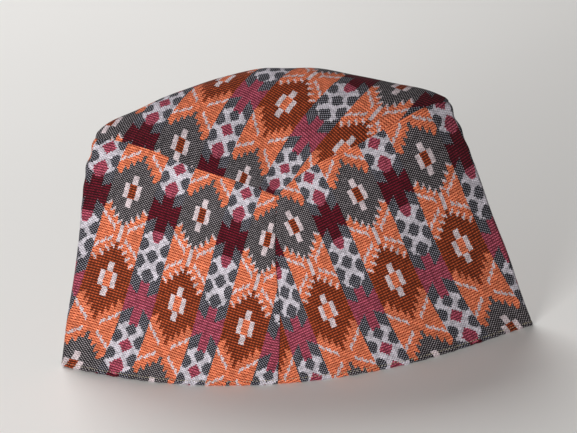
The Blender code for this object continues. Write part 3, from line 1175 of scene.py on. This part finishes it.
def yarn_level(tree, place):
    """Grey level of the yarn at a place that is counted in ties and ribs."""
    rows = add(tree, "ShaderNodeMath", {
        0: place.outputs["Y"], 1: CHART_ROWS / RIBS}, operation="MULTIPLY")
    row = add(tree, "ShaderNodeMath", {0: rows.outputs[0]}, operation="FLOOR")
    chance = add(tree, "ShaderNodeTexWhiteNoise", {"W": row.outputs[0]}, noise_dimensions="1D")
    stray = add(tree, "ShaderNodeMath", {
        0: chance.outputs["Value"], 1: ROW_WANDER}, operation="MULTIPLY")
    across = add(tree, "ShaderNodeMath", {
        0: place.outputs["X"], 1: COLUMN_PITCH / TIES, 2: stray.outputs[0]},
        operation="MULTIPLY_ADD")
    chart = add(tree, "ShaderNodeGroup", {
        "Across": across.outputs[0], "Row": row.outputs[0]}, node_tree=chart_tree)
    half_level = 0.5 / YARN_LEVELS
    middle = add(
        tree, "ShaderNodeMath", {0: chart.outputs["Yarn"], 1: half_level}, operation="ADD")
    return middle.outputs[0]


print("a rib is drawn", round(REPEAT / RIBS, 2), "mm high, and a real row is",
      round(REPEAT / CHART_ROWS, 2), "mm")

# %% [markdown]
# ## Ribs and ties
#
# A wave along the warp is 1 on the crown of a row and -1 in the valley between two. A second
# wave across it changes sign in the valleys, which gives the lattice of the warp ties. Noise
# for each tie then makes the thread lighter or darker, as handspun cotton takes up its dye.

# %% Waves of the weave, and its uneven dye
TONE_SPREAD = 0.25       # how far a thread's tone strays from one tie to the next


def ribs_and_lattice(tree, place):
    """The two waves of the weave, at a place that is counted in ties and ribs."""
    row_turn = add(
        tree, "ShaderNodeMath", {0: place.outputs["Y"], 1: 2 * pi}, operation="MULTIPLY")
    row_wave = add(tree, "ShaderNodeMath", {0: row_turn.outputs[0]}, operation="COSINE")
    ribs = add(tree, "ShaderNodeMath", {0: row_wave.outputs[0], 1: -1.0}, operation="MULTIPLY")
    tie_turn = add(
        tree, "ShaderNodeMath", {0: place.outputs["X"], 1: 2 * pi}, operation="MULTIPLY")
    tie_wave = add(tree, "ShaderNodeMath", {0: tie_turn.outputs[0]}, operation="COSINE")
    lattice = add(
        tree, "ShaderNodeMath", {0: tie_wave.outputs[0], 1: ribs.outputs[0]}, operation="MULTIPLY")
    return ribs.outputs[0], lattice.outputs[0]


def uneven_dye(tree, colour, counted):
    """A colour made lighter or darker from one tie to the next."""
    spots = add(tree, "ShaderNodeVectorMath", {0: counted}, operation="FLOOR")
    chance = add(tree, "ShaderNodeTexWhiteNoise", {0: spots.outputs[0]}, noise_dimensions="2D")
    tone = add(tree, "ShaderNodeMapRange", {
        "Value": chance.outputs["Value"], "To Min": 1 - TONE_SPREAD, "To Max": 1 + TONE_SPREAD})
    dyed = add(
        tree, "ShaderNodeVectorMath", {0: colour, "Scale": tone.outputs[0]}, operation="SCALE")
    return dyed.outputs[0]


print("a tie is drawn", round(COLUMN_PITCH / TIES, 2), "mm wide")

# %% [markdown]
# ## The wrong side
#
# Inside the cap, above the turned-up hem, the cloth shows its wrong side. The floats of a
# supplementary weft hardly come through there, so it is plain undyed cotton, with painted
# shade in the valleys of its weave and painted light on its crowns.

# %% The wrong side of the cloth
# undyed cotton with painted shade in the valleys of the weave and painted light on its crowns
WRONG_SIDE_SHADE_AND_LIGHT = ("#8C7F6C", "#B8AC98")      # in its valleys and on its crowns


def plain_inside(tree, colour, light):
    """A colour, replaced by undyed cotton on the wrong side above the hem, with painted shade in its
    valleys and painted light on its crowns.
    """
    edges = add(tree, "ShaderNodeUVMap", uv_map="edges")
    from_rim = add(tree, "ShaderNodeSeparateXYZ", {0: edges.outputs[0]})
    above = add(tree, "ShaderNodeMath", {
        0: from_rim.outputs["Y"], 1: HEM_HEIGHT * 1000}, operation="GREATER_THAN")
    inside = add(tree, "ShaderNodeAttribute", attribute_name="wrong_side")
    turned = add(tree, "ShaderNodeMath", {
        0: inside.outputs["Fac"], 1: above.outputs[0]}, operation="MULTIPLY")
    # painted shade: the valleys of the wrong side take the darker colour, its crowns the paler one
    plain = add(tree, "ShaderNodeMix", {
        "Factor": light, 6: linear(WRONG_SIDE_SHADE_AND_LIGHT[0]), 7: linear(WRONG_SIDE_SHADE_AND_LIGHT[1])}, data_type="RGBA")
    faced = add(tree, "ShaderNodeMix", {
        "Factor": turned.outputs[0], 6: colour, 7: plain.outputs[2]}, data_type="RGBA")
    return faced.outputs[2]


print("the pattern shows inside up to", HEM_HEIGHT * 1000, "mm")

# %% [markdown]
# ## The whole cloth
#
# The share of ribs mixes the two waves, and the share of shadow is taken off. What is left
# chooses between the crown's colour and the shadowed one, so the light and shade of the weave
# are painted into the base colour. The raised threads are a bump too, from the waves alone:
# with the chart in it the shader would be too large. Dry cotton is matt, has hardly a
# highlight, and shows a trace of fuzz at a grazing angle.

# %% The handloom cotton
THREAD_EDGE = 0.4        # softness of the step from a thread's shadowed side to its crown
THREAD_HEIGHT = 0.00006  # metres


def make_brocade():
    """Material of the woven cotton, from its UV map in column pitches and repeats."""
    material = bpy.data.materials.new("handloom_cotton_brocade")
    material.use_nodes = True
    tree = material.node_tree
    shader = tree.nodes["Principled BSDF"]
    weave = add(tree, "ShaderNodeUVMap", uv_map="weave")
    counted = add(tree, "ShaderNodeVectorMath", {
        0: weave.outputs[0], 1: (TIES, RIBS, 0)}, operation="MULTIPLY")
    place = add(tree, "ShaderNodeSeparateXYZ", {0: counted.outputs[0]})
    level = yarn_level(tree, place)
    lit = add(tree, "ShaderNodeValToRGB", {"Fac": level})
    fill_ramp(lit.color_ramp, palette_stops(0))
    shadowed = add(tree, "ShaderNodeValToRGB", {"Fac": level})
    fill_ramp(shadowed.color_ramp, palette_stops(1))
    ribs, lattice = ribs_and_lattice(tree, place)
    relief = add(
        tree, "ShaderNodeMix", {"Factor": lit.outputs["Alpha"], 2: lattice, 3: ribs}, data_type="FLOAT")
    proud = add(tree, "ShaderNodeMath", {
        0: relief.outputs[0], 1: shadowed.outputs["Alpha"]}, operation="SUBTRACT")
    light = add(tree, "ShaderNodeMapRange", {
        "Value": proud.outputs[0], "From Min": -THREAD_EDGE, "From Max": THREAD_EDGE},
        interpolation_type="SMOOTHSTEP").outputs[0]
    # painted light and shade of the ribs and ties: the lit colour on their crowns, the shadowed one in
    # their valleys
    yarn = add(tree, "ShaderNodeMix", {
        "Factor": light, 6: shadowed.outputs["Color"], 7: lit.outputs["Color"]}, data_type="RGBA")
    dyed = uneven_dye(tree, yarn.outputs[2], counted.outputs[0])
    tree.links.new(plain_inside(tree, dyed, light), shader.inputs["Base Color"])
    threads = add(tree, "ShaderNodeMath", {0: lattice, 1: ribs}, operation="ADD")
    bump = add(tree, "ShaderNodeBump", {
        "Height": threads.outputs[0], "Distance": THREAD_HEIGHT, "Strength": 0.6})
    tree.links.new(bump.outputs[0], shader.inputs["Normal"])
    shader.inputs["Roughness"].default_value = 0.88
    shader.inputs["IOR"].default_value = 1.5
    shader.inputs["Specular IOR Level"].default_value = 0.12
    shader.inputs["Sheen Weight"].default_value = 0.04
    shader.inputs["Sheen Roughness"].default_value = 0.5
    return material


brocade = make_brocade()
print(brocade.name, "has", len(brocade.node_tree.nodes), "nodes")

# %% [markdown]
# ## The sewing thread
#
# The hem is stitched with a plain spun polyester thread in khaki, two plies twisted together.
# The eye takes it for a row of small pale dashes with slanting bands. The bands are painted
# shade in the grooves between the plies, a wave along the diagonal, about 0.45 mm apart on the
# front of the hem. A wave texture runs through ten radians in each unit of length, which gives
# its scale.

# %% Sewing thread
PLY_SCALE = 1400.0
# painted shade in the grooves between two plies, and the thread's khaki on the plies
PLY_SHADE_AND_THREAD = ("#8F8670", "#B4A98F")     # between two plies and on them


def make_thread():
    """Material of the hem's stitches, with painted shade in the grooves between the plies."""
    material = bpy.data.materials.new("spun_polyester_thread")
    material.use_nodes = True
    tree = material.node_tree
    shader = tree.nodes["Principled BSDF"]
    here = add(tree, "ShaderNodeTexCoord")
    # the bands of painted shade between the plies
    plies = add(tree, "ShaderNodeTexWave", {
        "Vector": here.outputs["Object"], "Scale": PLY_SCALE}, bands_direction="DIAGONAL")
    tone = add(tree, "ShaderNodeMix", {
        "Factor": plies.outputs["Fac"], 6: linear(PLY_SHADE_AND_THREAD[0]), 7: linear(PLY_SHADE_AND_THREAD[1])},
        data_type="RGBA")
    tree.links.new(tone.outputs[2], shader.inputs["Base Color"])
    shader.inputs["Roughness"].default_value = 0.7
    return material


thread = make_thread()
print("bands", round(2 * pi / (10 * PLY_SCALE) * 1000, 2), "mm apart on the front of the hem")

# %% [markdown]
# ## The floor
#
# The cap stands on its rim, so the scene only needs a surface under it: a board with pale matt
# paint, a little cloudy, so that it stays quiet.

# %% Floor
FLOOR_SIZE = 8.0
FLOOR_CLOUDS = 3.0       # clouds in a metre
FLOOR_COLOURS = ("#EBE9E6", "#F1EFEC")


def make_floor():
    """A large pale floor."""
    bpy.ops.mesh.primitive_plane_add(size=FLOOR_SIZE, location=(0, 0, 0))
    floor = bpy.context.active_object
    floor.name = "floor"
    floor.select_set(False)
    material = bpy.data.materials.new("matt_painted_board")
    material.use_nodes = True
    tree = material.node_tree
    shader = tree.nodes["Principled BSDF"]
    here = add(tree, "ShaderNodeTexCoord")
    cloud = add(tree, "ShaderNodeTexNoise", {
        "Vector": here.outputs["Object"], "Scale": FLOOR_CLOUDS})
    tone = add(tree, "ShaderNodeMix", {
        "Factor": cloud.outputs["Fac"], 6: linear(FLOOR_COLOURS[0]), 7: linear(FLOOR_COLOURS[1])},
        data_type="RGBA")
    tree.links.new(tone.outputs[2], shader.inputs["Base Color"])
    shader.inputs["Roughness"].default_value = 0.85
    floor.data.materials.append(material)
    return floor


floor = make_floor()
print(floor.name, "is", FLOOR_SIZE, "m wide")

# %% [markdown]
# ## The light
#
# The light is soft and comes from the front left, from low down, as in the photograph, so the
# lower half of the cap is the brightest. A weak light fills the right side, and a large one
# from behind lifts the crown off the floor. All of them stand more than a metre away.

# %% Lights
LIGHT_TARGET = Vector((0, 0, 0.07))
LIGHTS = (               # place and side in metres, and power in watts
    ("key_light", (-0.55, -1.08, 0.27), 0.54, 16.2),
    ("fill_light", (0.9, -1.0, 0.1), 0.5, 1.5),
    ("rear_light", (-0.5, 1.1, 1.4), 1.2, 24),
)
SKY_COLOUR = "#F2F1EF"
SKY_STRENGTH = 0.08


def make_light(name, place, size, power):
    """A soft square light that looks at the cap."""
    lamp = bpy.data.lights.new(name, "AREA")
    lamp.size = size
    lamp.energy = power
    light = bpy.data.objects.new(name, lamp)
    light.location = place
    light.rotation_euler = (LIGHT_TARGET - light.location).to_track_quat("-Z", "Y").to_euler()
    bpy.context.scene.collection.objects.link(light)
    print(name, round((LIGHT_TARGET - light.location).length, 2), "m away,", power, "W")


for row in LIGHTS:
    make_light(*row)

world = bpy.data.worlds.new("studio")
bpy.context.scene.world = world
world.use_nodes = True
sky = world.node_tree.nodes["Background"]
sky.inputs["Color"].default_value = linear(SKY_COLOUR)
sky.inputs["Strength"].default_value = SKY_STRENGTH
bpy.context.scene.view_settings.view_transform = "Standard"

# %% [markdown]
# ## The camera
#
# It stands in front of the cap and somewhat above it, with a long lens, and is rolled by a few
# degrees, as the photograph is. It is turned by a matrix made of its three own axes.

# %% Camera
CAMERA_TARGET = Vector((0.0029, 0.0, 0.0731))
CAMERA_DISTANCE = 1.1524
CAMERA_ELEVATION = radians(22.5)
CAMERA_ROLL = radians(5.42)
CAMERA_LENS = 135        # millimetres, on a sensor 36 mm wide


def make_camera():
    """The camera of the photograph."""
    lens = bpy.data.cameras.new("camera")
    lens.lens = CAMERA_LENS
    lens.sensor_width = 36
    lens.clip_start = 0.05
    back = Vector((0, -cos(CAMERA_ELEVATION), sin(CAMERA_ELEVATION)))
    right = Vector((1, 0, 0))
    up = back.cross(right)
    rolled_right = cos(CAMERA_ROLL) * right - sin(CAMERA_ROLL) * up
    rolled_up = sin(CAMERA_ROLL) * right + cos(CAMERA_ROLL) * up
    turn = Matrix((rolled_right, rolled_up, back)).transposed()
    camera = bpy.data.objects.new("camera", lens)
    camera.matrix_world = Matrix.Translation(CAMERA_TARGET + CAMERA_DISTANCE * back) @ turn.to_4x4()
    bpy.context.scene.collection.objects.link(camera)
    return camera


bpy.context.scene.camera = make_camera()
print("camera", round(bpy.context.scene.camera.location.z, 3), "m above the floor")

# %% [markdown]
# ## The pieces in place of the solids
#
# Each cloth piece takes the brocade and stands for its plain solid, which is hidden. The
# stitches take the thread, and all of them are attached to the root body.


SHEETS = (
    (left_band, "band_left", "band_cloth_left", left_flat, [left_stitches]),
    (right_band, "band_right", "band_cloth_right", right_flat, [right_stitches]),
    (crown, "crown", "crown_cloth", crown_flat, []),
)
for piece, node, slot, flat, stitches in SHEETS:
    piece.data.materials.append(brocade)
    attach(piece, "root")
    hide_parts(node)

for piece in (left_stitches, right_stitches):
    piece.data.materials.append(thread)
    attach(piece, "root")
